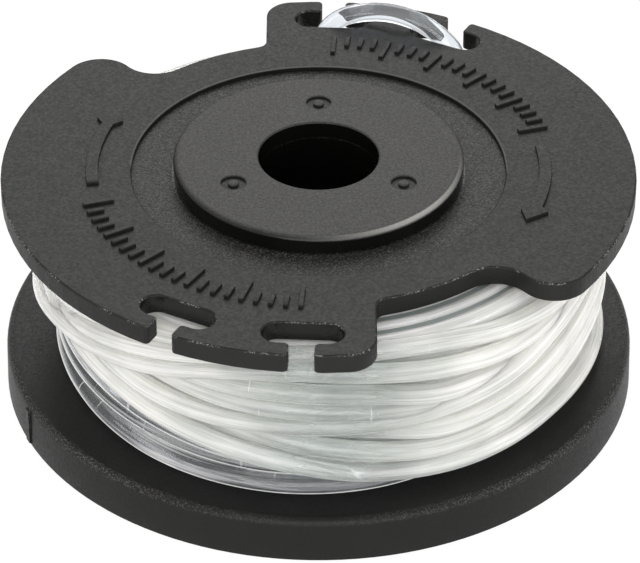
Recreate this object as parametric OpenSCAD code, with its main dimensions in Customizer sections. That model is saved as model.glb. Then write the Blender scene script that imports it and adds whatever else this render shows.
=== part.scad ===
// Line spool of a grass trimmer, in millimetres.
// One moulded spool with two flanges carries one length of wound nylon line.
// The axis is +Z, the spool stands on z = 0, and its square tab points to -Y.

/* [Lower flange] */
// Radius of the lower flange at its base
lower_flange_r = 32.1; // [30:0.1:36]
// Height of the lower flange's rim
lower_flange_h = 4.9; // [4:0.1:6]
// Thickness of the lower flange's web
web_t = 2; // [1.4:0.1:2.6]
// Thickness of the skirt under the rim
skirt_t = 2; // [1.4:0.1:3]
// Round between the rim and the top of the lower flange
shoulder_r = 0.8; // [0.4:0.1:1.4]
// How far the rim leans in over its height
rim_draft = 0.1; // [0.05:0.05:0.3]
// Chamfer round the base
base_edge = 0.15; // [0.1:0.05:0.4]

/* [Upper flange] */
// Radius of the upper flange
upper_flange_r = 31.7; // [30:0.1:34]
// Thickness of the upper flange
upper_flange_t = 2.1; // [1.6:0.1:2.6]
// Height of the winding space between the flanges
winding_h = 17.45; // [15:0.05:22]
// Round of the corners where a neck meets the rim or its slot
corner_r = 0.45; // [0.2:0.05:0.6]

/* [Hub] */
// Outer radius of the hub that carries the line
hub_r = 19; // [18:0.1:20.5]
// Thickness of the hub's wall
hub_wall = 1.8; // [1.4:0.1:2.4]
// Height of the hub's lower edge above the base
hub_lift = 0.6; // [0.3:0.1:1.5]

/* [Recess and boss] */
// Radius of the round recess in the upper flange
recess_r = 18.7; // [17.5:0.1:19.5]
// Depth of the recess
recess_depth = 0.55; // [0.3:0.05:0.8]
// Radius of the boss at its foot
boss_r = 14.5; // [13:0.1:15.5]
// Height of the boss above the top of the upper flange
boss_h = 1.3; // [0.8:0.1:2.5]
// Round of the boss's upper edge
boss_round = 0.5; // [0.2:0.1:0.7]
// Thickness of the walls of the boss
boss_wall = 2; // [1.4:0.1:2.6]

/* [Bore] */
// Radius of the through bore
bore_r = 6; // [5:0.1:6.5]
// Thickness of the sleeve round the bore
sleeve_wall = 1.7; // [1.2:0.1:2.2]
// Height of the sleeve's lower end above the base
sleeve_lift = 3; // [1:0.5:6]

/* [Line slots] */
// Length of a slot along the rim
slot_l = 7.8; // [6.5:0.1:8.4]
// Width of a slot
slot_w = 3.1; // [2.6:0.1:3.6]
// Wall left between a slot and the rim
slot_lip = 2.1; // [1.6:0.1:2.8]
// Width of the neck from the rim to a slot
neck_w = 2.45; // [2:0.05:3]
// Direction of the first slot
first_slot_az = 241.7; // [238:0.1:244]
// Angle between two neighbouring slots
slot_step = 25.3; // [23:0.1:27]

/* [Notches] */
// Depth of a notch below the rim
notch_depth = 8.3; // [7:0.1:9]
// Distance of the straight side of the tab from the middle plane
tab_side = 5.5; // [5:0.1:7]
// Round of the tab's outer corner
tab_corner_r = 2.75; // [1.5:0.05:3]
// Fillet at the tab's foot
tab_foot_r = 1.2; // [0.8:0.1:2]
// Hollow fillet at the far end of the notch
hollow_r = 3.5; // [2.5:0.1:4.5]
// Round of the lobe past the notch
lobe_r = 3.6; // [2.5:0.1:4.5]
// Direction of the lobe's centre
lobe_az = 323.7; // [320:0.1:330]

/* [Gate marks] */
// Radius of the circle on which the marks lie
gate_ring_r = 9.7; // [9:0.1:11]
// Radius of a mark's dimple
gate_r = 1.25; // [0.8:0.05:1.5]
// Depth of a mark's dimple
gate_depth = 0.25; // [0.1:0.05:0.4]
// Radius of the broken sprue in the dimple
sprue_r = 0.55; // [0.3:0.05:0.7]

/* [Underside] */
// Thickness of the ribs between the sleeve and the hub
rib_t = 1.3; // [1:0.1:2]
// Height of those ribs
rib_h = 8; // [5:0.5:12]
// Number of drive lugs inside the hub
lug_count = 8; // [4:1:10]
// How far a lug stands in from the hub's wall
lug_depth = 2.2; // [1.2:0.1:3]
// Length of a lug along the wall
lug_l = 4; // [2.5:0.5:5]
// Height of a lug
lug_h = 7; // [4:0.5:10]

/* [Line] */
// Diameter of the line
line_d = 2; // [1.7:0.05:2.2]
// Thickness of the winding on the hub at its fullest
winding_t = 10.2; // [8:0.1:10.6]
// How much deeper the inner turns lie than the outer ones
inner_turn_depth = 2.3; // [1:0.1:3]
// How much deeper the second layer lies than the outer turns
layer_depth = 1.75; // [1:0.05:2]
// How far the second layer is pulled in where the turns crowd
layer_pull = 0.9; // [0.5:0.1:1.2]
// How far inside the middle of the slots the topmost turn lies
top_turn_inset = 1.575; // [1.2:0.025:1.8]
// Height of the arch of line above the upper flange
loop_rise = 0.55; // [0.3:0.05:2]
// Clearance between the line and the spool
line_gap = 0.1; // [0.05:0.05:0.3]

/* [Hidden] */

overrun = 0.6;
arc_step = 4;
fine_arc_step = 9;
$fn = 180;

// Heights up the spool
floor_z = lower_flange_h;
plate_z = floor_z + winding_h;
top_z = plate_z + upper_flange_t;
recess_z = top_z - recess_depth;
boss_z = top_z + boss_h;

// Hollow inside the hub
cavity_r = hub_r - hub_wall;
boss_cavity_r = boss_r - boss_wall;
cavity_z = recess_z - boss_wall;
boss_cavity_z = boss_z - boss_wall;
sleeve_r = bore_r + sleeve_wall;

// Slots and notches
slot_r = upper_flange_r - slot_lip - slot_w / 2;
slot_cavity = slot_l / 2 - slot_w / 2;
floor_r = upper_flange_r - notch_depth;

// Turns of the winding. An outer turn's route round the front is read from the photo at these
// directions; behind, it follows the fan's rule from the last one round to the first.
turn_az = [180, 205, 220, 235, 250, 265, 280, 295, 310, 325, 340, 360];
// Heights of the outer turns there, as shares of the way from the lowest to the highest turn
turn_height_shares = [
    [0.63, 0.59, 0.485, 0.38, 0.282, 0.19, 0.105, 0.066, 0.066, 0.072, 0.059, 0.013],
    [0.682, 0.636, 0.557, 0.479, 0.446, 0.354, 0.275, 0.21, 0.223, 0.328, 0.413, 0.485],
    [0.734, 0.682, 0.584, 0.498, 0.472, 0.472, 0.446, 0.367, 0.393, 0.485, 0.603, 0.682],
    [0.787, 0.721, 0.616, 0.531, 0.492, 0.492, 0.498, 0.511, 0.57, 0.721, 0.839, 0.892],
    [0.839, 0.78, 0.741, 0.702, 0.656, 0.616, 0.59, 0.531, 0.472, 0.42, 0.38, 0.341],
    [0.892, 0.839, 0.8, 0.774, 0.761, 0.754, 0.721, 0.63, 0.59, 0.551, 0.525, 0.498],
    [0.407, 0.564, 0.636, 0.728, 0.852, 0.911, 0.885, 0.826, 0.787, 0.774, 0.761, 0.761],
    [0.525, 0.61, 0.734, 0.846, 0.951, 0.997, 0.997, 0.984, 0.938, 0.918, 0.957, 0.997]];
// How far they lie inside the fullest radius there, as shares of the line's diameter
turn_depth_shares = [
    [0.45, 0.3, 0.1, 0, 0, 0, 0, 0, 0, 0, 0, 0],
    [0.75, 0.75, 0.8, 0.75, 0.45, 0.05, 0, 0, 0, 0, 0, 0.1],
    [0.5, 0.8, 0.9, 0.85, 0.8, 0.7, 0.2, 0, 0, 0, 0.1, 0.2],
    [0.7, 0.6, 0.25, 0.05, 0, 0, 0, 0, 0, 0, 0, 0.1],
    [0.4, 0.65, 0.6, 0.25, 0, 0, 0, 0.25, 0.7, 0.8, 0.75, 0.3],
    [0.7, 0.55, 0.6, 0.4, 0.05, 0, 0, 0.05, 0.45, 0.75, 0.75, 0.7],
    [0.1, 0, 0, 0, 0, 0, 0, 0, 0, 0.25, 0.65, 0.8],
    [0.6, 0.45, 0.1, 0.1, 0.15, 0.4, 0.6, 0.45, 0.15, 0, 0.1, 0.4]];
// The same for the turn that lies on the lower flange
lowest_depth_shares = [1.2, 1.2, 1, 0.7, 0.4, 0.3, 0.5, 0.85, 1.1, 1.15, 1.1, 1.1];
inner_turns = 3;
layer_turns = 9;
layer_start = 0.6;
fan_high_az = 180;
fan_sharpness = 2.5;
turn_columns = 72;
// Rows of points between the lower flange, the first four outer turns and the upper flange
rows_between = [12, 8, 6, 7, 24];
top_row_az = [50, 90, 130];
top_crease_share = 0.2;
line_r = line_d / 2;
full_turn_r = hub_r + winding_t - line_r;
inner_turn_r = full_turn_r - inner_turn_depth;
top_turn_r = slot_r - top_turn_inset;
top_turns = floor((top_turn_r - hub_r - line_gap) / line_d) - 1;
lowest_z = floor_z + line_gap + line_r;
highest_z = plate_z - line_gap - line_r;
first_turn_share = 0.75;
first_low_z = lowest_z + first_turn_share * line_d;
first_high_z = lowest_z + (inner_turns + 1) * line_d;
loop_sides = 14;
loop_steps = 12;
loop_turn_az = 1.1;
loop_spread_az = 0.3;
loop_mid_az = first_slot_az - 180 - loop_turn_az + slot_step / 2;
loop_reach_az = slot_step / 2 + loop_spread_az;

// Points of an arc from one direction to another
function arc(c, r, from, to, step) =
    let (n = ceil(abs(to - from) / step))
    [for (i = [0:n]) let (a = from + (to - from) * i / n) c + r * [cos(a), sin(a)]];
function polar(r, a) = r * [cos(a), sin(a)];
function direction(v) = atan2(v.y, v.x);

// Centres of the arcs that bound a notch: tab corner, foot fillet, lobe and hollow
tab_corner_c = let (x = tab_side - tab_corner_r, r = upper_flange_r - tab_corner_r)
    [x, -sqrt(r * r - x * x)];
foot_c = let (x = tab_side + tab_foot_r, r = floor_r + tab_foot_r)
    [x, -sqrt(r * r - x * x)];
lobe_ring_r = upper_flange_r - lobe_r;
hollow_ring_r = floor_r + hollow_r;
arcs_apart = lobe_r + hollow_r;
hollow_az = lobe_az - acos((pow(lobe_ring_r, 2) + pow(hollow_ring_r, 2) - pow(arcs_apart, 2))
    / (2 * lobe_ring_r * hollow_ring_r));
lobe_c = polar(lobe_ring_r, lobe_az);
hollow_c = polar(hollow_ring_r, hollow_az);

// Half of the rim, from the lobe at the back round to the lobe at the front
function half_rim() =
    let (meet = direction(lobe_c - hollow_c))
    concat(
        arc([0, 0], upper_flange_r, lobe_az - 180, 360 + direction(tab_corner_c), arc_step),
        arc(tab_corner_c, tab_corner_r, direction(tab_corner_c), 0, fine_arc_step),
        arc(foot_c, tab_foot_r, 180, direction(-foot_c), 2 * fine_arc_step),
        arc([0, 0], floor_r, 360 + direction(foot_c), hollow_az, arc_step),
        arc(hollow_c, hollow_r, hollow_az - 180, meet, fine_arc_step),
        arc(lobe_c, lobe_r, meet - 180, lobe_az - 360, fine_arc_step));

module line_slot() {
    translate([slot_r, 0]) {
        for (side = [-1, 1]) translate([0, side * slot_cavity]) circle(d = slot_w, $fn = 40);
        square([slot_w, 2 * slot_cavity], center = true);
    }
    translate([slot_r, -neck_w / 2]) square([slot_w / 2 + slot_lip + overrun, neck_w]);
}

// Outline of the upper flange, with its notches and line slots
module upper_outline() {
    rim = half_rim();
    offset(r = corner_r, $fn = 40) offset(delta = -corner_r) difference() {
        polygon(concat(rim, [for (p = rim) -p]));
        for (half = [0, 180], i = [0, 1]) rotate(half + first_slot_az + i * slot_step) line_slot();
    }
}

// Half section of the hub and lower flange, as a revolved profile
module core_profile() {
    rim_r = lower_flange_r - rim_draft;
    polygon(concat(
        [[lower_flange_r - skirt_t, 0], [lower_flange_r - base_edge, 0], [lower_flange_r, base_edge]],
        arc([rim_r - shoulder_r, floor_z - shoulder_r], shoulder_r, 0, 90, 2 * fine_arc_step),
        [[hub_r, floor_z], [hub_r, recess_z], [cavity_r, recess_z], [cavity_r, hub_lift],
            [hub_r, hub_lift], [hub_r, floor_z - web_t],
            [lower_flange_r - skirt_t, floor_z - web_t]]));
}

// Half section of the boss, its roof and the sleeve round the bore
module boss_profile() {
    polygon(concat(
        [[bore_r, sleeve_lift], [sleeve_r, sleeve_lift], [sleeve_r, boss_cavity_z],
            [boss_cavity_r, boss_cavity_z], [boss_cavity_r, cavity_z], [cavity_r + overrun, cavity_z],
            [cavity_r + overrun, recess_z], [boss_r, recess_z]],
        arc([boss_r - boss_round, boss_z - boss_round], boss_round, 0, 90, 2 * fine_arc_step),
        [[bore_r, boss_z]]));
}

module gate_marks() {
    for (i = [0:2]) rotate(90 + i * 120) translate([gate_ring_r, 0, boss_z - gate_depth])
        difference() {
            cylinder(r = gate_r, h = gate_depth + overrun, $fn = 40);
            translate([0, 0, -overrun]) cylinder(r = sprue_r, h = gate_depth + overrun, $fn = 30);
        }
}

module drive_lugs() {
    for (i = [0:lug_count - 1]) rotate(i * 360 / lug_count)
        translate([0, 0, hub_lift]) linear_extrude(lug_h)
            polygon([[cavity_r + hub_wall / 2, -lug_l / 2], [cavity_r - lug_depth, lug_l / 4],
                [cavity_r - lug_depth, lug_l / 2], [cavity_r + hub_wall / 2, lug_l / 2]]);
}

module sleeve_ribs() {
    inner_x = (bore_r + sleeve_r) / 2;
    outer_x = (cavity_r + hub_r) / 2;
    for (i = [0:2]) rotate(30 + i * 120)
        translate([inner_x, -rib_t / 2, cavity_z - rib_h])
            cube([outer_x - inner_x, rib_t, rib_h + overrun]);
}

module spool_body() color([0.13, 0.13, 0.13]) difference() {
    union() {
        rotate_extrude() core_profile();
        translate([0, 0, plate_z]) linear_extrude(upper_flange_t) difference() {
            upper_outline();
            circle(r = (cavity_r + hub_r) / 2);
        }
        rotate_extrude() boss_profile();
        drive_lugs();
        sleeve_ribs();
    }
    translate([0, 0, recess_z]) difference() {
        cylinder(r = recess_r, h = recess_depth + overrun);
        translate([0, 0, -overrun]) cylinder(r = boss_r, h = boss_h + 3 * overrun);
    }
    gate_marks();
}

// Share of the way from the low side of the fan of turns to its high side
function rise(az) = pow((1 + cos(az - fan_high_az)) / 2, fan_sharpness);
function mix(a, b, share) = a + (b - a) * share;

// Last key at or before a direction
function key_before(az, i = 0) =
    i + 2 < len(turn_az) && turn_az[i + 1] <= az ? key_before(az, i + 1) : i;
function key_slope(values, n) =
    n == 0 || n == len(turn_az) - 1 ? 0
    : (values[n + 1] - values[n - 1]) / (turn_az[n + 1] - turn_az[n - 1]);

// Smooth value at a direction: through the keys at the front, by the fan's rule behind
function along_keys(values, az) =
    az < turn_az[0] ? mix(values[len(turn_az) - 1], values[0], rise(az))
    : let (i = key_before(az), step = turn_az[i + 1] - turn_az[i], t = (az - turn_az[i]) / step)
    (2 * pow(t, 3) - 3 * pow(t, 2) + 1) * values[i]
        + (pow(t, 3) - 2 * pow(t, 2) + t) * step * key_slope(values, i)
        + (3 * pow(t, 2) - 2 * pow(t, 3)) * values[i + 1]
        + (pow(t, 3) - pow(t, 2)) * step * key_slope(values, i + 1);

// Centre of an outer turn, as [radius, height]
function outer_turn(i, az) =
    [full_turn_r - line_d * along_keys(turn_depth_shares[i], az),
        min(highest_z, mix(lowest_z, highest_z, along_keys(turn_height_shares[i], az)))];

// Centre of an inner turn, which lies deeper, and of a turn of the second layer
function inner_turn(k, az) =
    [inner_turn_r, mix(mix(lowest_z, first_low_z, k / (inner_turns + 1)), lowest_z + k * line_d, rise(az))];
function layer_turn(i, az) =
    let (share = (i + layer_start) / layer_turns)
    [full_turn_r - layer_depth - layer_pull * rise(az),
        mix(mix(first_low_z, highest_z, share), mix(first_high_z, highest_z, share), rise(az))];

// Centres of all the turns that can reach the skin of the winding in one direction
function turn_centres(az) = concat(
    [[full_turn_r - line_d * along_keys(lowest_depth_shares, az), lowest_z], [top_turn_r, highest_z]],
    [for (k = [1:inner_turns]) inner_turn(k, az)],
    [for (i = [0:layer_turns - 1]) layer_turn(i, az)],
    [for (i = [0:len(turn_height_shares) - 1]) outer_turn(i, az)]);

// Radius of the skin at a height: that of the turn that reaches out the furthest
function skin_r(centres, z) = max([inner_turn_r,
    for (c = centres) if (abs(z - c.y) < line_r + line_gap)
        c.x + sqrt(max(0, line_r * line_r - pow(z - c.y, 2)))]);

// Points of the skin from the lower flange up, in rows that run along the first four outer turns
function skin_points(az) =
    let (centres = turn_centres(az), count = len(rows_between),
        guides = concat([floor_z + line_gap], [for (i = [0:count - 2]) outer_turn(i, az).y],
            [highest_z + line_r]))
    [for (g = [0:count - 1], n = [0:rows_between[g] - 1])
        let (z = mix(guides[g], guides[g + 1], n / rows_between[g])) [skin_r(centres, z), z]];

// Turns that lie side by side on top of the winding, from the outer one inwards
function top_rows() =
    let (c = [top_turn_r, highest_z])
    [for (i = [1:1:top_turns]) each concat(
        [c + [(0.5 - i) * line_d, top_crease_share * line_r]],
        [for (a = top_row_az) c + [-i * line_d, 0] + polar(line_r, a)])];

// Section of the whole winding in one direction, closed along the hub
function winding_section(az) =
    let (inner = (hub_r + line_gap) / cos(180 / turn_columns))
    concat([[inner, floor_z + line_gap]], skin_points(az), [[top_turn_r, highest_z + line_r]],
        top_rows(), [[inner, highest_z]]);

module winding() {
    sections = [for (i = [0:turn_columns - 1]) let (az = i * 360 / turn_columns)
        [for (p = winding_section(az)) [p.x * cos(az), p.x * sin(az), p.y]]];
    m = len(sections[0]);
    points = [for (s = sections) each s];
    faces = [for (i = [0:turn_columns - 1], j = [0:m - 1])
        let (n = (i + 1) % turn_columns, q = (j + 1) % m)
        each [[i * m + j, i * m + q, n * m + q], [i * m + j, n * m + q, n * m + j]]];
    polyhedron(points, faces);
}

// Middle of the loop of line that rises through one back slot and goes down the next
function loop_point(share) =
    let (side = 2 * share - 1, arch = 1 - pow(abs(side), 4))
    [slot_r - line_r / 4, loop_mid_az - loop_reach_az * side,
        mix(highest_z - line_r, top_z + loop_rise + line_r, arch)];

module line_loop() {
    centres = [for (i = [0:loop_steps]) let (p = loop_point(i / loop_steps))
        [p.x * cos(p.y), p.x * sin(p.y), p.z]];
    for (i = [0:loop_steps - 1]) hull() {
        translate(centres[i]) sphere(d = line_d, $fn = loop_sides);
        translate(centres[i + 1]) sphere(d = line_d, $fn = loop_sides);
    }
}

module trimmer_line() color([0.91, 0.91, 0.88]) {
    winding();
    line_loop();
}

spool_body();
trimmer_line();
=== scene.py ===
"""Looks of a trimmer line spool: a black moulded spool, its wound nylon line and a plain stage."""

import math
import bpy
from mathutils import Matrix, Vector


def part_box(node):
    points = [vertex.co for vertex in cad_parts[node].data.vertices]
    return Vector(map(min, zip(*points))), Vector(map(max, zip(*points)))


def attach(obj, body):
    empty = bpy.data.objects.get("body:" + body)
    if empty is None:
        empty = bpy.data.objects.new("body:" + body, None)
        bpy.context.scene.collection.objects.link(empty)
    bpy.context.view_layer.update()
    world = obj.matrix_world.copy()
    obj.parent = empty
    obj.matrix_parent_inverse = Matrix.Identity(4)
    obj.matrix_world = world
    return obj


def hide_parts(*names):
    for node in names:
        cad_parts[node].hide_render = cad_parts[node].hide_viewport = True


bl_info = {
    "name": "Trimmer line spool",
    "version": (1, 0, 0),
    "blender": (4, 5, 0),
    "location": "View3D > Sidebar > Spool",
    "description": "Dresses a trimmer line spool with moulded edges, raised signs and wound nylon line",
    "category": "Object",
}

from types import SimpleNamespace

import bmesh
import bpy
from bpy.props import FloatProperty, FloatVectorProperty, IntProperty, PointerProperty
from mathutils import Matrix, Vector, noise

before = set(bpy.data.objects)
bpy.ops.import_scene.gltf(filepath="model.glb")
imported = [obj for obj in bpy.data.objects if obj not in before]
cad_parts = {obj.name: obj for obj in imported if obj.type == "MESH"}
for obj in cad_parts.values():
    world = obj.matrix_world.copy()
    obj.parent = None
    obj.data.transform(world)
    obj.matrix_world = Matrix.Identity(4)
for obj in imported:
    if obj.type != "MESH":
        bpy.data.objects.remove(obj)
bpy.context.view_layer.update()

MM = 0.001

# Places that the frame gives, in millimetres
body_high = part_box("spool_body")[1] / MM
line_low, line_high = (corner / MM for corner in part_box("trimmer_line"))
boss_z = body_high.z
winding_r = line_high.x

# Routes of the outer turns round the front, from the first one up: the height of a turn's middle,
# and how far it lies inside the fullest radius, at each of these directions
TURN_AZ = (180, 205, 220, 235, 250, 265, 280, 295, 310, 325, 340, 360)
TURN_HEIGHTS = (
    (15.6, 15.0, 13.4, 11.8, 10.3, 8.9, 7.6, 7.0, 7.0, 7.1, 6.9, 6.2),
    (16.4, 15.7, 14.5, 13.3, 12.8, 11.4, 10.2, 9.2, 9.4, 11.0, 12.3, 13.4),
    (17.2, 16.4, 14.9, 13.6, 13.2, 13.2, 12.8, 11.6, 12.0, 13.4, 15.2, 16.4),
    (18.0, 17.0, 15.4, 14.1, 13.5, 13.5, 13.6, 13.8, 14.7, 17.0, 18.8, 19.6),
    (18.8, 17.9, 17.3, 16.7, 16.0, 15.4, 15.0, 14.1, 13.2, 12.4, 11.8, 11.2),
    (19.6, 18.8, 18.2, 17.8, 17.6, 17.5, 17.0, 15.6, 15.0, 14.4, 14.0, 13.6),
    (12.2, 14.6, 15.7, 17.1, 19.0, 19.9, 19.5, 18.6, 18.0, 17.8, 17.6, 17.6),
    (14.0, 15.3, 17.2, 18.9, 20.5, 21.2, 21.2, 21.0, 20.3, 20.0, 20.6, 21.2),
    (16.0, 17.3, 19.2, 20.9, 21.2, 21.2, 21.2, 21.2, 21.2, 21.2, 21.2, 21.2))
TURN_DEPTHS = (
    (0.9, 0.6, 0.2, 0.0, 0.0, 0.0, 0.0, 0.0, 0.0, 0.0, 0.0, 0.0),
    (1.5, 1.5, 1.6, 1.5, 0.9, 0.1, 0.0, 0.0, 0.0, 0.0, 0.0, 0.0),
    (1.0, 1.6, 1.8, 1.7, 1.6, 1.4, 0.4, 0.0, 0.0, 0.0, 0.0, 0.0),
    (1.4, 1.2, 0.5, 0.1, 0.0, 0.0, 0.0, 0.0, 0.0, 0.0, 0.0, 0.0),
    (1.5, 1.6, 1.4, 0.6, 0.0, 0.0, 0.0, 0.5, 1.4, 1.6, 1.5, 0.6),
    (1.8, 1.7, 1.5, 0.9, 0.1, 0.0, 0.0, 0.1, 0.9, 1.5, 1.5, 1.4),
    (0.2, 0.0, 0.0, 0.0, 0.0, 0.0, 0.0, 0.0, 0.0, 0.5, 1.3, 1.6),
    (1.2, 0.9, 0.2, 0.2, 0.3, 0.8, 1.2, 0.9, 0.3, 0.0, 0.2, 0.8),
    (0.9, 0.7, 0.5, 0.5, 1.0, 1.8, 2.0, 2.0, 2.0, 2.0, 2.1, 2.2))
LOWEST_DEPTHS = (2.3, 2.1, 1.6, 1.0, 0.6, 0.5, 0.9, 1.7, 2.2, 2.3, 2.2, 2.2)

# Middle of the loop of line over the bridge between the two back slots
LOOP_POINTS = (
    (0.2, 27.6, 21.6), (1.0, 27.7, 23.5), (2.9, 27.6, 25.1), (6.1, 27.1, 25.9),
    (9.0, 26.1, 25.95), (11.7, 25.0, 25.15), (13.9, 23.8, 23.6), (14.7, 23.2, 21.6))

# Directions of the line slots, in degrees
SLOT_AZ = (61.7, 87.0, 241.7, 267.0)

# Radius of the bore, and the two radii between which the gate marks lie, in millimetres
BORE_R = 6.0
MARKS_R = (7, 12)

# Direction of the first of the two marks that the mould's parting leaves, in degrees
PARTING_AZ = 205

# A raised arrow: the directions of its shaft's two ends in degrees, and the radius in millimetres and
# the direction of each corner of its head
ARROW_AZ = (8.4, -19.0)
ARROW_HEAD = ((24.05, -20.6), (22.5, -25.8), (21.35, -21.6))

# A raised scale: the directions of its first and last bar in degrees, and how often a long bar comes
SCALE_AZ = (86, 17)
LONG_BAR_EVERY = 4

# Faces of a turn of line round the axis and round the line
TURN_STEPS = 240
LINE_SIDES = 16

# Number of the first turn of each layer; its number sets how a turn strays and where its streaks lie
INNER_NUMBER = 20
LAYER_NUMBER = 40
TOP_NUMBER = 60

# Where the second layer's first turn starts, as a share of the step between its turns
LAYER_START = 0.6

# The photograph's camera, fitted to outlines of the spool. The focal length and the shift are in
# pixels of the photograph, as is its width.
PHOTO_W = 640
FOCAL_LENGTH = 3686.934
SHIFT = (1.45, 0.868)
ELEVATION = 35.587
DISTANCE = 376.39 * MM
TARGET_Z = 10.175 * MM


def srgb(hex_colour):
    """Linear red, green, blue and alpha of an sRGB hex colour."""
    parts = [int(hex_colour[i:i + 2], 16) / 255 for i in (1, 3, 5)]
    return [c / 12.92 if c <= 0.04045 else ((c + 0.055) / 1.055) ** 2.4 for c in parts] + [1.0]


def length(name, description, default_mm, low_mm, high_mm):
    """A size that a user can change, given in millimetres and held in metres."""
    return FloatProperty(name=name, description=description, default=default_mm * MM,
                         min=low_mm * MM, max=high_mm * MM, precision=5, unit="LENGTH")


def colour(name, description, hex_colour):
    """A colour that a user can change."""
    return FloatVectorProperty(name=name, description=description, default=srgb(hex_colour),
                               size=4, min=0.0, max=1.0, subtype="COLOR")


class SpoolSizes(bpy.types.PropertyGroup):
    """Sizes and colours of the moulded spool and of the signs on it."""

    top_z: length("Top", "Height of the upper flange's top", 24.45, 20, 30)
    rim_z: length("Rim", "Height of the lower flange's rim", 4.9, 4, 6)
    rim_r: length("Rim radius", "Radius of the lower flange", 32.1, 30, 36)
    recess_z: length("Recess floor", "Height of the recess floor", 23.9, 20, 30)
    recess_r: length("Recess", "Radius of the round recess", 18.7, 17.5, 19.5)
    boss_r: length("Boss", "Radius of the boss", 14.5, 13, 15.5)
    slot_r: length("Slots", "Distance of the line slots from the axis", 28.05, 26, 30)
    slot_l: length("Slot length", "Length of a line slot", 7.8, 6.5, 8.4)
    slot_w: length("Slot width", "Width of a line slot", 3.1, 2.6, 3.6)
    edge_inset: length("Edge band", "Width of the band that frames a flat face", 0.22, 0.1, 0.3)
    edge_round: length("Edge round", "Round of the moulded edges", 0.2, 0.1, 0.3)
    fine_round: length("Fine round", "Round of the gate marks' edges", 0.08, 0.02, 0.15)
    sign_h: length("Sign height", "How far the signs stand up", 0.32, 0.1, 0.5)
    shaft_inner_r: length("Arrow inside", "Inner radius of an arrow's shaft", 22.0, 20, 23)
    shaft_outer_r: length("Arrow outside", "Outer radius of an arrow's shaft", 23.25, 22, 25)
    tick_inner_r: length("Tick inside", "Inner radius of the scale", 21.1, 19, 23)
    tick_outer_r: length("Tick outside", "Outer radius of the scale", 24.2, 22, 26)
    tick_w: length("Tick width", "Width of one bar of the scale", 0.5, 0.3, 0.8)
    ticks: IntProperty(name="Ticks", description="Bars in one scale", default=21, min=5, max=40)
    plastic: colour("Plastic", "Colour of the moulded plastic", "#181817")
    # Pale colour for worn edges, also used for painted highlights and glints on the edges
    pale_wear_and_highlight: colour("Worn plastic", "Colour of rubbed and rough edges", "#949491")


class LineSizes(bpy.types.PropertyGroup):
    """Sizes and colours of the wound line."""

    line_d: length("Line", "Diameter of the line", 2, 1.6, 2.4)
    gap: length("Gap", "Clearance between the line and the spool", 0.1, 0.05, 0.3)
    plate_z: length("Under side", "Height of the upper flange's under side", 22.35, 18, 28)
    hub_r: length("Hub", "Outer radius of the hub", 19, 18, 20.5)
    inner_depth: length("Inner depth", "How much deeper the inner turns lie", 2.3, 1, 3)
    inner_rise: length("Inner rise", "Height of the inner turns at the high side of the fan", 8, 6, 10)
    layer_depth: length("Layer depth", "How much deeper the second layer lies", 1.75, 1, 2)
    layer_pull: length("Layer pull", "How much deeper still it lies at the high side", 0.9, 0, 1.5)
    top_depth: length("Top depth", "How much deeper the first of the level top turns lies", 1.9, 1, 3)
    skin_depth: length("Skin depth", "How far the mass of layers keeps inside the turns", 0.3, 0, 1)
    wander: length("Wander", "How far a turn strays from its route", 0.12, 0, 0.5)
    inner_turns: IntProperty(name="Inner turns", description="Turns that lie deeper", default=4,
                             min=2, max=6)
    layer_turns: IntProperty(name="Layer turns", description="Turns of the second layer", default=9,
                             min=5, max=12)
    top_turns: IntProperty(name="Top turns", description="Level turns at the top, each inside the last",
                           default=4, min=1, max=4)
    milky: colour("Milky line", "Colour of the line where it is wound in layers", "#fcfaf5")
    # The deep layers' grey-blue colour is painted shade on the inner layers of line
    deep: colour("Deep layers", "Colour of the layers deep in the winding", "#8f9896")
    clear: colour("Clear line", "Colour of the line where the layers let light through", "#eef6f3")
    free: colour("Free line", "Colour of a strand that lies alone", "#edf2f8")


def in_mm(group):
    """The values of a group, with its lengths in millimetres."""
    values = {}
    for name, prop in group.bl_rna.properties.items():
        if name not in ("rna_type", "name"):
            value = getattr(group, name)
            values[name] = value / MM if prop.unit == "LENGTH" else value
    return SimpleNamespace(**values)


def add(tree, kind, inputs=None, **settings):
    """Adds a node with its settings; inputs gives each socket a value, an output or a node to link."""
    node = tree.nodes.new(kind)
    for name, value in settings.items():
        setattr(node, name, value)
    for name, value in (inputs or {}).items():
        if isinstance(value, bpy.types.Node):
            value = next(socket for socket in value.outputs if socket.enabled)
        if isinstance(value, bpy.types.NodeSocket):
            tree.links.new(value, node.inputs[name])
        else:
            node.inputs[name].default_value = value
    return node


def new_material(name):
    """An empty node material and its tree."""
    material = bpy.data.materials.new(name)
    material.use_nodes = True
    tree = material.node_tree
    tree.nodes.clear()
    return material, tree


def finish_piece(piece, slot, *nodes):
    """Ties a finished piece to the frame."""
    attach(piece, "root")
    if nodes:
        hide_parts(*nodes)


def to_object(bm, name, material, smooth=True):
    """Turns a bmesh in millimetres into an object in metres at the origin."""
    bmesh.ops.scale(bm, vec=(MM, MM, MM), verts=bm.verts[:])
    bmesh.ops.recalc_face_normals(bm, faces=bm.faces[:])
    mesh = bpy.data.meshes.new(name)
    bm.to_mesh(mesh)
    bm.free()
    mesh.materials.append(material)
    mesh.polygons.foreach_set("use_smooth", [smooth] * len(mesh.polygons))
    piece = bpy.data.objects.new(name, mesh)
    bpy.context.scene.collection.objects.link(piece)
    return piece


def mark_sharp(piece, degrees):
    """Keeps edges sharper than an angle crisp and lets the large flat faces lead the shading."""
    piece.data.set_sharp_from_angle(angle=math.radians(degrees))
    weighted = piece.modifiers.new("flat_faces_lead", "WEIGHTED_NORMAL")
    weighted.keep_sharp = True
    weighted.weight = 100
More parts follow.
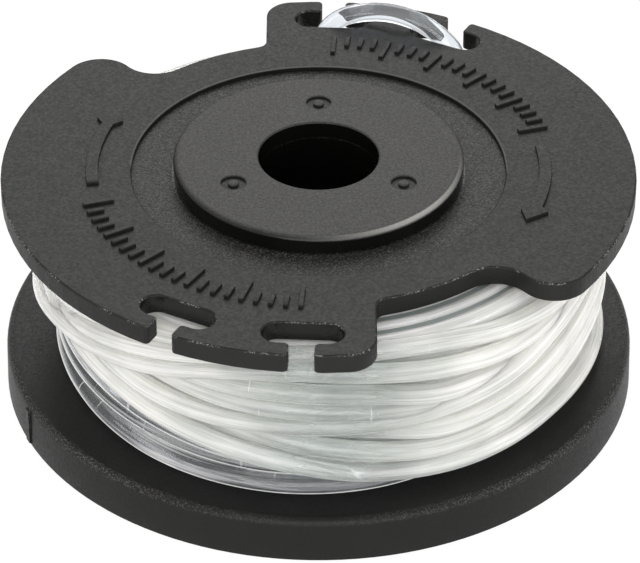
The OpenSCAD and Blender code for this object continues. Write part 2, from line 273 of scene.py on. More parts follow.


# Black polypropylene, injection moulded in a spark-eroded tool: near black, with a fine even grain that
# breaks the light up into a soft sheen. The grain is coarser on the recess floor and on the edges. The
# edges carry pale specks that are partly wear and partly painted glints, the boss's edge and the lower
# flange's shoulder carry painted highlights, and the boss's face is dusty from handling. The lower
# flange and the walls of the bore, the boss and the slots are darkened with painted shade. edge and wall
# are the moulding's own attributes.
def black_polypropylene(sizes):
    material, tree = new_material("black_moulded_polypropylene")
    place = add(tree, "ShaderNodeTexCoord").outputs["Object"]
    edge = add(tree, "ShaderNodeAttribute", attribute_name="edge").outputs["Fac"]
    wall = add(tree, "ShaderNodeAttribute", attribute_name="wall").outputs["Fac"]

    # Places: each of these is 1 there and 0 elsewhere
    close = 0.1 * MM
    at = add(tree, "ShaderNodeSeparateXYZ", {"Vector": place})
    height = at.outputs["Z"]
    flat = add(tree, "ShaderNodeCombineXYZ", {"X": at.outputs["X"], "Y": at.outputs["Y"]})
    reach = add(tree, "ShaderNodeVectorMath", {0: flat}, operation="LENGTH").outputs["Value"]
    inside = add(tree, "ShaderNodeMath", {0: reach, 1: sizes.recess_r - close}, operation="LESS_THAN")
    level = add(tree, "ShaderNodeMath", {0: height, 1: sizes.recess_z, 2: close}, operation="COMPARE")
    recess = add(tree, "ShaderNodeMath", {0: level, 1: inside}, operation="MULTIPLY")
    middle = add(tree, "ShaderNodeMath", {0: reach, 1: sizes.recess_r + 1 * MM}, operation="LESS_THAN")
    below = add(tree, "ShaderNodeMath", {0: height, 1: 2 * sizes.rim_z}, operation="LESS_THAN")
    handled = add(tree, "ShaderNodeMath", {0: height, 1: boss_z * MM - close}, operation="GREATER_THAN")

    # Grain and dust are finer on the real one; these are as fine as the render shows
    grain = add(tree, "ShaderNodeTexNoise", {
        "Vector": place, "Scale": 1 / (0.3 * MM), "Detail": 2.0, "Roughness": 0.6})
    dust = add(tree, "ShaderNodeTexNoise", {
        "Vector": place, "Scale": 1 / (0.16 * MM), "Detail": 2.0, "Roughness": 0.7})
    mottle = add(tree, "ShaderNodeTexNoise", {"Vector": place, "Scale": 1 / (3 * MM), "Detail": 3.0})

    # Relief, deepest on the recess floor and on the edges
    coarse = add(tree, "ShaderNodeMath", {0: recess, 1: edge}, operation="MAXIMUM")
    strength = add(tree, "ShaderNodeMapRange", {"Value": coarse, "To Min": 0.25, "To Max": 0.9})
    bump = add(tree, "ShaderNodeBump", {"Height": grain, "Distance": 0.06 * MM, "Strength": strength})

    # Pale specks on the edges and, fewer, on the recess floor; they are partly wear and partly painted
    # glints of the grain. They come in dashes on the upper flange's outer edges, and evenly below it and
    # in its middle.
    speck = add(tree, "ShaderNodeMapRange", {"Value": dust, "From Min": 0.5, "From Max": 0.64})
    dashes = add(tree, "ShaderNodeMapRange", {"Value": mottle, "From Min": 0.47, "From Max": 0.53})
    even = add(tree, "ShaderNodeMath", {0: below, 1: middle}, operation="MAXIMUM")
    run = add(tree, "ShaderNodeMath", {0: dashes, 1: even}, operation="MAXIMUM")
    spots = add(tree, "ShaderNodeMath", {0: speck, 1: run}, operation="MULTIPLY")
    few = add(tree, "ShaderNodeMath", {0: recess, 1: 0.2}, operation="MULTIPLY")
    rubbing_and_highlight = add(tree, "ShaderNodeMath", {0: few, 1: edge}, operation="MAXIMUM")
    specks = add(tree, "ShaderNodeMath", {0: spots, 1: rubbing_and_highlight}, operation="MULTIPLY")

    # A painted highlight: a steady pale band on the boss's edge; and a veil of dust on its face
    boss_edge = add(tree, "ShaderNodeMath", {0: middle, 1: edge}, operation="MULTIPLY")
    band = add(tree, "ShaderNodeMath", {0: boss_edge, 1: 0.9}, operation="MULTIPLY")
    rubbed_and_highlit = add(tree, "ShaderNodeMath", {0: specks, 1: band}, operation="MAXIMUM")
    veil = add(tree, "ShaderNodeMapRange", {
        "Value": dust, "From Min": 0.35, "From Max": 0.65, "To Min": 0.02, "To Max": 0.12})
    wear_dust_and_highlight = add(tree, "ShaderNodeMath", {0: handled, 1: veil, 2: rubbed_and_highlit}, operation="MULTIPLY_ADD")

    # Colour: mottled black, paler with wear and with painted highlights and glints, and darkened by painted
    # shade below and on deep walls
    tone = add(tree, "ShaderNodeMapRange", {
        "Value": mottle, "From Min": 0.3, "From Max": 0.7, "To Min": 0.85, "To Max": 1.15})
    base = add(tree, "ShaderNodeVectorMath", {0: sizes.plastic[:3], "Scale": tone}, operation="SCALE")
    pale_wear_and_highlight = add(tree, "ShaderNodeMix", {"Factor": wear_dust_and_highlight, "A": base, "B": sizes.pale_wear_and_highlight}, data_type="RGBA")
    painted_shade = add(tree, "ShaderNodeMath", {0: below, 1: 0.75, 2: wall}, operation="MULTIPLY_ADD")
    left = add(tree, "ShaderNodeMapRange", {"Value": painted_shade, "To Min": 1.0, "To Max": 0.35})
    shown = add(tree, "ShaderNodeVectorMath", {0: pale_wear_and_highlight, "Scale": left}, operation="SCALE")

    # The grain breaks the gloss up; deep walls are sleek, so they show little of the lamps
    rough = add(tree, "ShaderNodeMapRange", {
        "Value": grain, "From Min": 0.3, "From Max": 0.7, "To Min": 0.42, "To Max": 0.58})
    gloss = add(tree, "ShaderNodeMapRange", {"Value": wall, "To Min": rough, "To Max": 0.1})
    shader = add(tree, "ShaderNodeBsdfPrincipled", {
        "Base Color": shown, "Roughness": gloss, "IOR": 1.49, "Specular IOR Level": 0.25, "Normal": bump})
    add(tree, "ShaderNodeOutputMaterial", {"Surface": shader})
    return material


# Clear nylon monofilament, drawn and wound: glossy, see-through where a strand lies alone, milky in long
# streaks where layers lie close, with short nicks across it, painted highlights along its edges and a
# painted glow.
# tints are its clear and its milky colour, and cloudy is how far the milkiest place loses its clearness.
# The inner and the edge glow are painted glow: emission that stands for the light that the layers pass
# on inside a turn and along its edges, so the line glows a little though it is no lamp.
# between is the noise value between two streaks and the milkiness there. flow and milk are the winding's
# own attributes: one unit of flow is 31 mm along a turn and the whole 6.3 mm round it, so that streaks
# are by default 20 mm long and 0.4 mm wide, and nicks 0.35 mm long and 3.7 mm wide.
def wound_nylon(name, tints, cloudy, roughness, painted_inner_glow, painted_edge_glow, streaks=(1.6, 1.6, 16.0),
                between=(0.3, 0.6)):
    material, tree = new_material(name)
    place = add(tree, "ShaderNodeTexCoord").outputs["Object"]
    flow = add(tree, "ShaderNodeAttribute", attribute_name="flow").outputs["Vector"]
    milk = add(tree, "ShaderNodeAttribute", attribute_name="milk").outputs["Fac"]

    # Milkiness: streaks along the line, in wide soft clouds
    along = add(tree, "ShaderNodeVectorMath", {0: flow, 1: streaks}, operation="MULTIPLY")
    streak = add(tree, "ShaderNodeTexNoise", {
        "Vector": along, "Scale": 1.0, "Detail": 3.0, "Roughness": 0.7})
    cloud = add(tree, "ShaderNodeTexNoise", {"Vector": place, "Scale": 1 / (7 * MM), "Detail": 1.0})
    thick = add(tree, "ShaderNodeMapRange", {
        "Value": streak, "From Min": between[0], "From Max": 0.65, "To Min": between[1], "To Max": 1.0})
    patch = add(tree, "ShaderNodeMapRange", {
        "Value": cloud, "From Min": 0.35, "From Max": 0.6, "To Min": 0.8, "To Max": 1.0})
    both = add(tree, "ShaderNodeMath", {0: thick, 1: patch}, operation="MULTIPLY")
    milky = add(tree, "ShaderNodeMath", {0: both, 1: milk}, operation="MULTIPLY")

    # Nicks are as bright as milk, and the strands' edges get a painted highlight: milky and bright where
    # they turn away from the view
    across = add(tree, "ShaderNodeVectorMath", {0: flow, 1: (90.0, 90.0, 1.7)}, operation="MULTIPLY")
    spread = add(tree, "ShaderNodeTexNoise", {"Vector": across, "Scale": 1.0, "Detail": 0.0})
    nick = add(tree, "ShaderNodeMapRange", {
        "Value": spread, "From Min": 0.77, "From Max": 0.84, "To Max": 0.6})
    facing = add(tree, "ShaderNodeLayerWeight", {"Blend": 0.5}).outputs["Facing"]
    edge = add(tree, "ShaderNodeMapRange", {
        "Value": facing, "From Min": 0.5, "From Max": 0.9, "To Min": 0.0, "To Max": 0.85})
    drawn = add(tree, "ShaderNodeMath", {0: edge, 1: nick}, operation="MAXIMUM")
    bright = add(tree, "ShaderNodeMath", {0: milky, 1: drawn}, operation="MAXIMUM")

    # Colour, clearness, gloss, and a painted glow that stands for the light that is passed on
    tint = add(tree, "ShaderNodeMix", {"Factor": bright, "A": tints[0], "B": tints[1]}, data_type="RGBA")
    shade = add(tree, "ShaderNodeMapRange", {
        "Value": streak, "From Min": 0.3, "From Max": 0.6, "To Min": 0.87, "To Max": 1.0})
    base = add(tree, "ShaderNodeVectorMath", {0: tint, "Scale": shade}, operation="SCALE")
    clear = add(tree, "ShaderNodeMapRange", {"Value": bright, "To Min": 1.0, "To Max": 1.0 - cloudy})
    gloss = add(tree, "ShaderNodeMapRange", {
        "Value": streak, "From Min": 0.3, "From Max": 0.7, "To Min": 0.5 * roughness,
        "To Max": 1.5 * roughness})
    inner = add(tree, "ShaderNodeMath", {0: milky, 1: painted_inner_glow}, operation="MULTIPLY")
    light = add(tree, "ShaderNodeMath", {0: edge, 1: painted_edge_glow, 2: inner}, operation="MULTIPLY_ADD")
    shader = add(tree, "ShaderNodeBsdfPrincipled", {
        "Base Color": base, "Roughness": gloss, "IOR": 1.53, "Transmission Weight": clear,
        "Emission Color": tints[1], "Emission Strength": light,
        "Subsurface Weight": bright, "Subsurface Radius": (1.0, 1.0, 0.9), "Subsurface Scale": 1.5 * MM})
    add(tree, "ShaderNodeOutputMaterial", {"Surface": shader})
    return material


# Clear nylon monofilament as one free strand or as a mass of layers: bright, slightly cool, glossy.
def clear_nylon(name, tint, transmission, roughness, scatter):
    material, tree = new_material(name)
    shader = add(tree, "ShaderNodeBsdfPrincipled", {
        "Base Color": tint, "Roughness": roughness, "IOR": 1.53, "Transmission Weight": transmission,
        "Subsurface Weight": scatter, "Subsurface Radius": (1.0, 1.0, 0.9), "Subsurface Scale": 1.0 * MM})
    add(tree, "ShaderNodeOutputMaterial", {"Surface": shader})
    return material


def flat_regions(bm, least_area):
    """Groups of joined faces that lie flat at one height and cover more than an area."""
    left = {f for f in bm.faces if abs(f.normal.z) > 0.999}
    regions = []
    while left:
        waiting = [left.pop()]
        region = []
        while waiting:
            face = waiting.pop()
            region.append(face)
            for near in {f for e in face.edges for f in e.link_faces}:
                if near in left and near.normal.dot(face.normal) > 0.999:
                    left.discard(near)
                    waiting.append(near)
        if sum(f.calc_area() for f in region) > least_area:
            regions.append(region)
    return regions


class SPOOL_OT_body(bpy.types.Operator):
    """Copies the moulded spool, makes its flat faces whole and rounds its edges"""
    bl_idname = "spool.body"
    bl_label = "Moulded spool"

    def execute(self, context):
        sizes = in_mm(context.scene.spool_sizes)
        bm = bmesh.new()
        bm.from_mesh(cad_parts["spool_body"].data)
        bmesh.ops.scale(bm, vec=(1 / MM, 1 / MM, 1 / MM), verts=bm.verts[:])
        bmesh.ops.remove_doubles(bm, verts=bm.verts[:], dist=0.002)
        bmesh.ops.dissolve_limit(bm, angle_limit=math.radians(0.6), use_dissolve_boundaries=False,
                                 verts=bm.verts[:], edges=bm.edges[:], delimit={"NORMAL"})
        for region in flat_regions(bm, 30):
            self.frame_face(bm, region, sizes.edge_inset)
        self.round_edges(bm, sizes)
        for half in (0, math.pi):
            self.parting_mark(bm, sizes, half)
        self.mark_edges(bm, sizes)
        piece = to_object(bm, "moulded_spool", black_polypropylene(context.scene.spool_sizes))
        mark_sharp(piece, 40)
        finish_piece(piece, "spool_plastic", "spool_body")
        return {"FINISHED"}

    def frame_face(self, bm, region, inset):
        """Sets a narrow band round a flat face and fills the rest with fresh triangles."""
        up = region[0].normal.copy()
        bmesh.ops.inset_region(bm, faces=region, thickness=inset, depth=0, use_boundary=True,
                               use_even_offset=True)
        inside = set(region)
        inner = {e for f in region for e in f.edges}
        rim = [e for e in inner if sum(f in inside for f in e.link_faces) == 1]
        bridges = [e for e in inner if sum(f in inside for f in e.link_faces) == 2]
        bmesh.ops.delete(bm, geom=region, context="FACES_ONLY")
        bmesh.ops.delete(bm, geom=bridges, context="EDGES")
        bmesh.ops.triangle_fill(bm, use_beauty=True, use_dissolve=False, edges=rim, normal=up)

    def round_edges(self, bm, sizes):
        """Bevels the convex edges, finely on the gate marks."""
        def on_mark(edge):
            return all(MARKS_R[0] < v.co.xy.length < MARKS_R[1] and v.co.z > boss_z - 0.45
                       for v in edge.verts)

        for fine, offset, segments in ((False, sizes.edge_round, 3), (True, sizes.fine_round, 2)):
            edges = [e for e in bm.edges if e.is_convex and e.calc_face_angle(0) > math.radians(60)
                     and on_mark(e) == fine]
            bmesh.ops.bevel(bm, geom=edges, affect="EDGES", offset=offset, offset_type="OFFSET",
                            segments=segments, profile=0.5, material=-1, clamp_overlap=False)
        bmesh.ops.triangulate(bm, faces=[f for f in bm.faces if len(f.verts) > 4], ngon_method="BEAUTY")

    def parting_mark(self, bm, sizes, half):
        """Sets the short upright bar that the mould's parting leaves on the lower flange's side."""
        turn = Matrix.Rotation(math.radians(PARTING_AZ) + half, 3, "Z")
        bar = bmesh.ops.create_cube(bm, size=1)["verts"]
        bmesh.ops.scale(bm, vec=(0.5, 0.9, sizes.rim_z - 1.0), verts=bar)
        bmesh.ops.translate(bm, vec=(sizes.rim_r - 0.1, 0, sizes.rim_z / 2 - 0.2), verts=bar)
        bmesh.ops.rotate(bm, verts=bar, cent=(0, 0, 0), matrix=turn)

    def in_slot(self, place, sizes):
        """Whether a place lies within a line slot or on its wall."""
        half_w = sizes.slot_w / 2 + 0.1
        half_l = sizes.slot_l / 2 + 0.1
        for az in SLOT_AZ:
            local = Matrix.Rotation(-math.radians(az), 3, "Z") @ place
            if abs(local.x - sizes.slot_r) < half_w and abs(local.y) < half_l:
                return place.z > sizes.recess_z - 2
        return False

    def mark_edges(self, bm, sizes):
        """Writes how pale each edge is, from 0 to 1, partly from wear and partly as painted highlight, and
        which walls get painted shade.
        """
        edge = bm.verts.layers.float.new("edge")
        wall = bm.verts.layers.float.new("wall")
        bm.normal_update()
        for v in bm.verts:
            out, z = v.co.xy.length, v.co.z
            turned = 0.15 < v.normal.z < 0.97
            on_top = turned and abs(z - sizes.top_z) < 0.3
            # Painted shade on the walls of the bore and the boss, and half as much on the slots' walls;
            # these walls are also sleek
            if z < boss_z - 0.1 and (out < BORE_R + 0.2 or abs(out - sizes.boss_r) < 0.05):
                v[wall] = 1.0
            elif z < sizes.top_z - 0.1 and self.in_slot(v.co, sizes):
                v[wall] = 0.5
            if turned and sizes.rim_z - 1.0 < z <= sizes.rim_z + 0.01 and out > sizes.rim_r - 1.3:
                # Painted highlight with some wear: the lower flange's shoulder is paler at its sides than in
                # front
                v[edge] = mix(0.05, 0.5, min(1.6 * abs(v.co.x) / out, 1.0))
            elif on_top and out > sizes.recess_r + 2:
                v[edge] = 0.7
            elif on_top and v.co.y > 0:
                v[edge] = 0.35
            elif 0.1 < v.normal.z < 0.99 and z > boss_z - 0.7 and abs(out - sizes.boss_r) < 0.8:
                # Painted highlight: the boss's edge is bright towards +X and -Y
                v[edge] = (max(v.co.x - v.co.y, 0.0) / (math.sqrt(2) * out)) ** 6


def rise(az):
    """Share of the way from the low side of the fan of turns, at +X, to its high side."""
    return ((1 - math.cos(az)) / 2) ** 2.5


def mix(a, b, share):
    return a + (b - a) * share


def along_keys(az, values):
    """Smooth value at a direction: through the keys at the front, and by the fan's rule behind."""
    turn = math.degrees(az) % 360
    if turn < TURN_AZ[0]:
        return mix(values[-1], values[0], rise(az))
    i = max(n for n in range(len(TURN_AZ) - 1) if TURN_AZ[n] <= turn)

    def slope(n):
        if n in (0, len(TURN_AZ) - 1):
            return 0.0
        return (values[n + 1] - values[n - 1]) / (TURN_AZ[n + 1] - TURN_AZ[n - 1])

    step = TURN_AZ[i + 1] - TURN_AZ[i]
    t = (turn - TURN_AZ[i]) / step
    return ((2 * t ** 3 - 3 * t ** 2 + 1) * values[i] + (t ** 3 - 2 * t ** 2 + t) * step * slope(i)
            + (3 * t ** 2 - 2 * t ** 3) * values[i + 1] + (t ** 3 - t ** 2) * step * slope(i + 1))


def stray(line, number, az):
    """How far a turn strays from its route, out and up."""
    place = Vector((2 * math.cos(az), 2 * math.sin(az), 7.3 * number))
    return line.wander * noise.noise(place), line.wander * noise.noise(place + Vector((0, 0, 50)))


def fan_height(line, share, az):
    """Height of a turn of the fan; share 0 is its first turn and 1 its last."""
    lowest = line_low.z + line.line_d / 2
    highest = line.plate_z - line.gap - line.line_d / 2
    first_low = lowest + 0.75 * line.line_d
    first_high = lowest + line.inner_rise
    return mix(mix(first_low, highest, share), mix(first_high, highest, share), rise(az))


def outer_route(line, i, az):
    """Radius and height of the middle of an outer turn."""
    out, up = stray(line, i, az)
    full_r = winding_r - line.line_d / 2
    highest = line.plate_z - line.gap - line.line_d / 2
    return full_r - along_keys(az, TURN_DEPTHS[i]) + out, min(highest, along_keys(az, TURN_HEIGHTS[i]) + up)


def inner_route(line, k, az):
    """Radius and height of the middle of an inner turn; turn 0 is the lowest."""
    full_r = winding_r - line.line_d / 2
    lowest = line_low.z + line.line_d / 2
    if k == 0:
        return full_r - along_keys(az, LOWEST_DEPTHS), lowest
    out, up = stray(line, INNER_NUMBER + k, az)
    share = k / line.inner_turns
    low = mix(lowest, lowest + 0.75 * line.line_d, share)
    return full_r - line.inner_depth + out, mix(low, lowest + line.inner_rise * share, rise(az)) + up


def layer_route(line, i, az):
    """Radius and height of the middle of a turn of the second layer."""
    out, up = stray(line, LAYER_NUMBER + i, az)
    full_r = winding_r - line.line_d / 2
    return (full_r - line.layer_depth - line.layer_pull * rise(az) + out,
            fan_height(line, (i + LAYER_START) / line.layer_turns, az) + up)


def part_way(value, start, end):
    """How far a value has come from a start to an end, from 0 to 1."""
    return min(max((value - start) / (end - start), 0.0), 1.0)


def hump(turn, middle, width):
    """A smooth hump of height 1 round a direction in degrees."""
    return math.exp(-((turn - middle) / width) ** 2)


def clear_milk(turn):
    """How milky the lower turns are: clear at the low left and milkier to the right."""
    return mix(0.4, 0.75, part_way(turn, 222, 256))


def lowest_milk(turn):
    """How milky the lowest turn is: clear at the left and at the front, milkier between and behind."""
    return 0.25 + 0.5 * hump(turn, 238, 17) + 0.3 * part_way(turn, 280, 300)


def window_milk(turn):
    """How milky the outer turns are: less at the front, where one can see into the layers."""
    return 1.0 - 0.7 * hump(turn, 272, 20)


def even_milk(turn):
    return 1.0


def new_winding():
    """An empty bmesh for turns of line: flow follows a turn, milk says how milky it is."""
    bm = bmesh.new()
    bm.verts.layers.float_vector.new("flow")
    bm.verts.layers.float.new("milk")
    return bm


def turn_round(bm, geom):
    """Spins a closed section once round the axis."""
    bmesh.ops.spin(bm, geom=geom, cent=(0, 0, 0), axis=(0, 0, 1), angle=2 * math.pi, steps=TURN_STEPS,
                   use_merge=True, use_normal_flip=False, use_duplicate=False)


def ring_template(radius):
    """A plain closed ring of line about the axis, to be copied and moved for each turn."""
    bm = new_winding()
    start = Matrix.Translation((winding_r, 0, 0)) @ Matrix.Rotation(math.pi / 2, 4, "X")
    ring = bmesh.ops.create_circle(bm, cap_ends=False, radius=radius, segments=LINE_SIDES, matrix=start)
    turn_round(bm, ring["verts"] + bm.edges[:])
    mesh = bpy.data.meshes.new("ring_of_line")
    bm.to_mesh(mesh)
    bm.free()
    return mesh


def add_turn(bm, template, route, number, milk):
    """Adds one closed turn of line: a copy of the ring, moved to follow its route."""
    first = len(bm.verts)
    bm.from_mesh(template)
    bm.verts.ensure_lookup_table()
    flow = bm.verts.layers.float_vector["flow"]
    milky = bm.verts.layers.float["milk"]
    centres = {}
    for v in bm.verts[first:]:
        az = math.atan2(v.co.y, v.co.x)
        key = round(az, 4)
        if key not in centres:
            centres[key] = route(az)
        r, z = centres[key]
        out, up = v.co.xy.length - winding_r, v.co.z
        v[flow] = (math.cos(az), math.sin(az), number + math.atan2(up, out) / (2 * math.pi))
        v[milky] = milk(math.degrees(az) % 360)
        v.co = ((r + out) * math.cos(az), (r + out) * math.sin(az), z + up)


class SPOOL_OT_line(bpy.types.Operator):
    """Winds the turns of line between the flanges"""
    bl_idname = "spool.line"
    bl_label = "Wound line"

    def execute(self, context):
        group = context.scene.spool_line
        line = in_mm(group)
        template = ring_template(line.line_d / 2)
        outer, inner, layer = new_winding(), new_winding(), new_winding()
        for i in range(len(TURN_HEIGHTS)):
            add_turn(outer, template, lambda az, i=i: outer_route(line, i, az), i, window_milk)
        for k in range(1 + line.inner_turns):
            milk = clear_milk if k else lowest_milk
            add_turn(inner, template, lambda az, k=k: inner_route(line, k, az), INNER_NUMBER + k, milk)
        for i in range(line.layer_turns):
            add_turn(layer, template, lambda az, i=i: layer_route(line, i, az), LAYER_NUMBER + i,
                     window_milk)
        top_z = line.plate_z - line.gap - line.line_d / 2
        for i in range(line.top_turns):
            r = winding_r - line.line_d / 2 - line.top_depth - i * line.line_d
            add_turn(layer, template, lambda az, r=r: (r, top_z), TOP_NUMBER + i, even_milk)
        bpy.data.meshes.remove(template)
        tints = (group.clear, group.milky)
        free_tints = (group.free, group.milky)
        outer_nylon = wound_nylon("clear_wound_nylon", tints, cloudy=0.7, roughness=0.15,
                                  painted_inner_glow=0.045, painted_edge_glow=0.08)
        layer_nylon = wound_nylon("milky_wound_nylon", tints, cloudy=0.8, roughness=0.2,
                                  painted_inner_glow=0.04, painted_edge_glow=0.03)
        inner_nylon = wound_nylon("clear_nylon_line", free_tints, cloudy=0.8, roughness=0.02,
                                  painted_inner_glow=0.05, painted_edge_glow=0.6, streaks=(1.2, 1.2, 12.0),
                                  between=(0.46, 0.1))
        for bm, name, material in ((outer, "outer_turns", outer_nylon), (layer, "second_layer", layer_nylon),
                                   (inner, "lower_turns", inner_nylon)):
            finish_piece(to_object(bm, name, material), "nylon_line", "trimmer_line")
        return {"FINISHED"}


class SPOOL_OT_core(bpy.types.Operator):
    """Fills the winding under the outer turns with the inner layers of line"""
    bl_idname = "spool.core"
    bl_label = "Inner layers"

    def execute(self, context):
        group = context.scene.spool_line
        line = in_mm(group)
        skin_r = winding_r - line.line_d / 2 - line.layer_depth - line.skin_depth
        inner_r = line.hub_r + line.gap
        bm = bmesh.new()
        section = [(inner_r, 0.0), (skin_r, 0.0), (skin_r, 1.0), (inner_r, 1.0)]
        verts = [bm.verts.new((r, 0, z)) for r, z in section]
        edges = [bm.edges.new((a, b)) for a, b in zip(verts, verts[1:] + verts[:1])]
        turn_round(bm, verts + edges)
        for v in bm.verts:
            # A height of 0 becomes the fan's low side and 1 its top
            az = math.atan2(v.co.y, v.co.x)
            pull = line.layer_pull * rise(az) if v.co.xy.length > inner_r + 1 else 0.0
            low = fan_height(line, 0.1, az) - 0.2
            high = line.plate_z - line.gap - line.skin_depth
            v.co.xy *= 1 - pull / v.co.xy.length
            v.co.z = mix(low, high, v.co.z)
        # The inner layers take the deep layers' grey-blue, which is painted shade
        piece = to_object(bm, "inner_layers", clear_nylon("layered_nylon_line", group.deep, 0.0, 0.35, 1.0))
        mark_sharp(piece, 40)
        finish_piece(piece, "nylon_line", "trimmer_line")
        return {"FINISHED"}


class SPOOL_OT_loop(bpy.types.Operator):
    """Lays the loop of line over the bridge between the two back slots"""
    bl_idname = "spool.loop"
    bl_label = "Loop of line"

    def execute(self, context):
        group = context.scene.spool_line
        line = in_mm(group)
        steps = 64
        bm = bmesh.new()
        verts = bmesh.ops.create_circle(bm, cap_ends=False, radius=line.line_d / 2, segments=20)["verts"]
        edges = bm.edges[:]
        rings = [{v: v.co.copy() for v in verts}]
        for n in range(steps):
            made = bmesh.ops.extrude_edge_only(bm, edges=edges)["geom"]
            edges = [g for g in made if isinstance(g, bmesh.types.BMEdge)]
            rings.append({g: g.co.copy() for g in made if isinstance(g, bmesh.types.BMVert)})
        bmesh.ops.holes_fill(bm, edges=bm.edges[:], sides=0)
        points = [Vector(p) for p in LOOP_POINTS]
        for n, ring in enumerate(rings):
            centre, tangent = self.point(points, n / steps)
            out = Vector((centre.x, centre.y, 0)).normalized()
            out = (out - tangent * out.dot(tangent)).normalized()
            side = tangent.cross(out)
            for v, local in ring.items():
                v.co = centre + out * local.x + side * local.y
        piece = to_object(bm, "line_loop", clear_nylon("clear_nylon_loop", group.free, 0.93, 0.03, 0.3))
        finish_piece(piece, "nylon_line", "trimmer_line")
        return {"FINISHED"}

    def point(self, points, share):
        """Point and direction on a smooth curve through the points."""
        place = share * (len(points) - 1)
        i = min(int(place), len(points) - 2)
        t = place - i
        a, b = points[i], points[i + 1]
        before = points[i - 1] if i else a
        after = points[i + 2] if i + 2 < len(points) else b
        go, come = (b - before) / 2, (after - a) / 2
        at = ((2 * t ** 3 - 3 * t ** 2 + 1) * a + (t ** 3 - 2 * t ** 2 + t) * go
              + (3 * t ** 2 - 2 * t ** 3) * b + (t ** 3 - t ** 2) * come)
        way = ((6 * t ** 2 - 6 * t) * a + (3 * t ** 2 - 4 * t + 1) * go
               + (6 * t - 6 * t ** 2) * b + (3 * t ** 2 - 2 * t) * come)
        return at, way.normalized()


class SPOOL_OT_signs(bpy.types.Operator):
    """Raises the two arrows and the two plain scales on the upper flange"""
    bl_idname = "spool.signs"
    bl_label = "Raised signs"

    def execute(self, context):
        sizes = in_mm(context.scene.spool_sizes)
        material = bpy.data.materials["black_moulded_polypropylene"]
        for name, build in (("winding_arrows", self.arrow), ("scale_bars", self.scale)):
            bm = bmesh.new()
            for half in (0, math.pi):
                made = build(bm, sizes)
                bmesh.ops.rotate(bm, verts=made, cent=(0, 0, 0), matrix=Matrix.Rotation(half, 3, "Z"))
            self.raise_faces(bm, sizes)
            piece = to_object(bm, name, material)
            mark_sharp(piece, 30)
            finish_piece(piece, "spool_plastic")
        return {"FINISHED"}

    def arrow(self, bm, sizes):
        """An arc of a shaft with its head, flat at the flange's top."""
        before = set(bm.verts)
        start, end = (math.radians(az) for az in ARROW_AZ)

        def at(r, az):
            return bm.verts.new((r * math.cos(az), r * math.sin(az), sizes.top_z))

        verts = [at(sizes.shaft_inner_r, start), at(sizes.shaft_outer_r, start)]
        edge = bm.edges.new(verts)
        shaft = bmesh.ops.spin(bm, geom=verts + [edge], cent=(0, 0, 0), axis=(0, 0, 1), angle=end - start,
                               steps=14, use_merge=False, use_normal_flip=False, use_duplicate=False)
        inner, outer = sorted((v for v in shaft["geom_last"] if isinstance(v, bmesh.types.BMVert)),
                              key=lambda v: v.co.xy.length)
        head = [at(r, math.radians(az)) for r, az in ARROW_HEAD]
        bm.faces.new([inner, outer, *head])
        return [v for v in bm.verts if v not in before]

    def scale(self, bm, sizes):
        """A row of plain bars, some of them long."""
        before = set(bm.verts)
        for n in range(sizes.ticks):
            az = math.radians(mix(*SCALE_AZ, n / (sizes.ticks - 1)))
            inner = sizes.tick_inner_r
            if n % LONG_BAR_EVERY:
                inner = mix(inner, sizes.tick_outer_r, 0.45)
            middle = (inner + sizes.tick_outer_r) / 2
            place = Matrix.Rotation(az, 4, "Z") @ Matrix.Translation((middle, 0, sizes.top_z))
            bar = bmesh.ops.create_grid(bm, x_segments=1, y_segments=1, size=0.5)["verts"]
            bmesh.ops.scale(bm, vec=(sizes.tick_outer_r - inner, sizes.tick_w, 1), verts=bar)
            bmesh.ops.transform(bm, matrix=place, verts=bar)
        return [v for v in bm.verts if v not in before]

    def raise_faces(self, bm, sizes):
        """Gives flat shapes their height, from just inside the flange, and rounds their top edges."""
        sunk = 0.05
        bmesh.ops.recalc_face_normals(bm, faces=bm.faces[:])
        bmesh.ops.translate(bm, vec=(0, 0, -sunk), verts=bm.verts[:])
        made = bmesh.ops.extrude_face_region(bm, geom=bm.faces[:], use_keep_orig=True)["geom"]
        bmesh.ops.translate(bm, vec=(0, 0, sizes.sign_h + sunk),
                            verts=[g for g in made if isinstance(g, bmesh.types.BMVert)])
        bmesh.ops.recalc_face_normals(bm, faces=bm.faces[:])
        top = [e for e in bm.edges if e.calc_face_angle(0) > 1.0
               and all(v.co.z > sizes.top_z + sizes.sign_h / 2 for v in e.verts)]
        bmesh.ops.bevel(bm, geom=top, affect="EDGES", offset=0.08, offset_type="OFFSET", segments=2,
                        profile=0.5, material=-1, clamp_overlap=True)


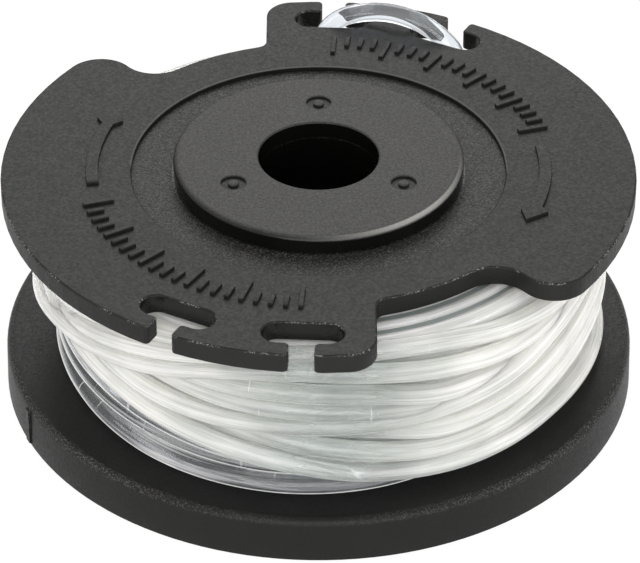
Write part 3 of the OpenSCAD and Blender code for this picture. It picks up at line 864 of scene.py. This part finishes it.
class SPOOL_OT_stage(bpy.types.Operator):
    """Adds the white floor, the soft lights and the camera"""
    bl_idname = "spool.stage"
    bl_label = "Stage"

    def execute(self, context):
        self.floor(context)
        self.world(context)
        self.lamps(context)
        self.camera(context)
        context.scene.view_settings.view_transform = "Standard"
        return {"FINISHED"}

    def floor(self, context):
        """White paper that the camera, gloss and clear line see at full white, with a faint shadow."""
        bm = bmesh.new()
        bmesh.ops.create_grid(bm, x_segments=1, y_segments=1, size=1500)
        material, tree = new_material("white_paper_floor")
        paper = add(tree, "ShaderNodeBsdfDiffuse", {"Color": srgb("#f4f4f4")})
        bright = add(tree, "ShaderNodeEmission", {"Color": srgb("#ffffff"), "Strength": 1.06})
        rays = add(tree, "ShaderNodeLightPath").outputs
        seen = add(tree, "ShaderNodeMath", {0: rays["Is Camera Ray"], 1: rays["Is Glossy Ray"]},
                   operation="MAXIMUM")
        seen = add(tree, "ShaderNodeMath", {0: seen, 1: rays["Is Transmission Ray"]}, operation="MAXIMUM")
        most = add(tree, "ShaderNodeMath", {0: seen, 1: 0.85}, operation="MULTIPLY")
        both = add(tree, "ShaderNodeMixShader", {"Fac": most, 1: paper, 2: bright})
        add(tree, "ShaderNodeOutputMaterial", {"Surface": both})
        to_object(bm, "floor", material, smooth=False)

    def world(self, context):
        world = bpy.data.worlds.new("studio")
        world.use_nodes = True
        tree = world.node_tree
        tree.nodes.clear()
        sky = add(tree, "ShaderNodeBackground", {"Color": srgb("#fffdfb"), "Strength": 0.76})
        add(tree, "ShaderNodeOutputWorld", {"Surface": sky})
        context.scene.world = world

    def lamps(self, context):
        for name, place, size, power in (
                ("back_softbox", (0.00, 0.45, 0.34), 0.35, 0.8),
                ("left_softbox", (-0.45, -0.05, 0.28), 0.25, 0.35),
                ("right_softbox", (0.45, -0.15, 0.20), 0.25, 0.5),
                ("front_softbox", (0.00, -0.50, 0.14), 0.60, 2.2)):
            light = bpy.data.lights.new(name, "AREA")
            light.shape = "DISK"
            light.size = size
            light.energy = power
            lamp = bpy.data.objects.new(name, light)
            lamp.location = place
            lamp.rotation_euler = (-Vector(place)).to_track_quat("-Z", "Y").to_euler()
            context.scene.collection.objects.link(lamp)

    def camera(self, context):
        view = bpy.data.cameras.new("photo_view")
        elevation = math.radians(ELEVATION)
        target = Vector((0, 0, TARGET_Z))
        view.sensor_width = 36
        view.lens = FOCAL_LENGTH * view.sensor_width / PHOTO_W
        view.shift_x, view.shift_y = (pixels / PHOTO_W for pixels in SHIFT)
        camera = bpy.data.objects.new("photo_view", view)
        camera.location = target + DISTANCE * Vector((0, -math.cos(elevation), math.sin(elevation)))
        camera.rotation_euler = (math.pi / 2 - elevation, 0, 0)
        context.scene.collection.objects.link(camera)
        context.scene.camera = camera


class SPOOL_PT_sidebar(bpy.types.Panel):
    """Lists the spool's operators and sizes"""
    bl_idname = "SPOOL_PT_sidebar"
    bl_label = "Trimmer line spool"
    bl_space_type = "VIEW_3D"
    bl_region_type = "UI"
    bl_category = "Spool"

    def draw(self, context):
        for operator in OPERATORS:
            self.layout.operator(operator.bl_idname)
        for group in (context.scene.spool_sizes, context.scene.spool_line):
            box = self.layout.box()
            for name in group.bl_rna.properties.keys():
                if name not in ("rna_type", "name"):
                    box.prop(group, name)


OPERATORS = (SPOOL_OT_stage, SPOOL_OT_body, SPOOL_OT_signs, SPOOL_OT_core, SPOOL_OT_line, SPOOL_OT_loop)
CLASSES = (SpoolSizes, LineSizes, SPOOL_PT_sidebar, *OPERATORS)


def register():
    for kind in CLASSES:
        bpy.utils.register_class(kind)
    bpy.types.Scene.spool_sizes = PointerProperty(type=SpoolSizes)
    bpy.types.Scene.spool_line = PointerProperty(type=LineSizes)


def unregister():
    del bpy.types.Scene.spool_line
    del bpy.types.Scene.spool_sizes
    for kind in reversed(CLASSES):
        bpy.utils.unregister_class(kind)


def main():
    register()
    bpy.ops.spool.stage()
    bpy.ops.spool.body()
    bpy.ops.spool.signs()
    bpy.ops.spool.core()
    bpy.ops.spool.line()
    bpy.ops.spool.loop()


if __name__ == "__main__":
    main()
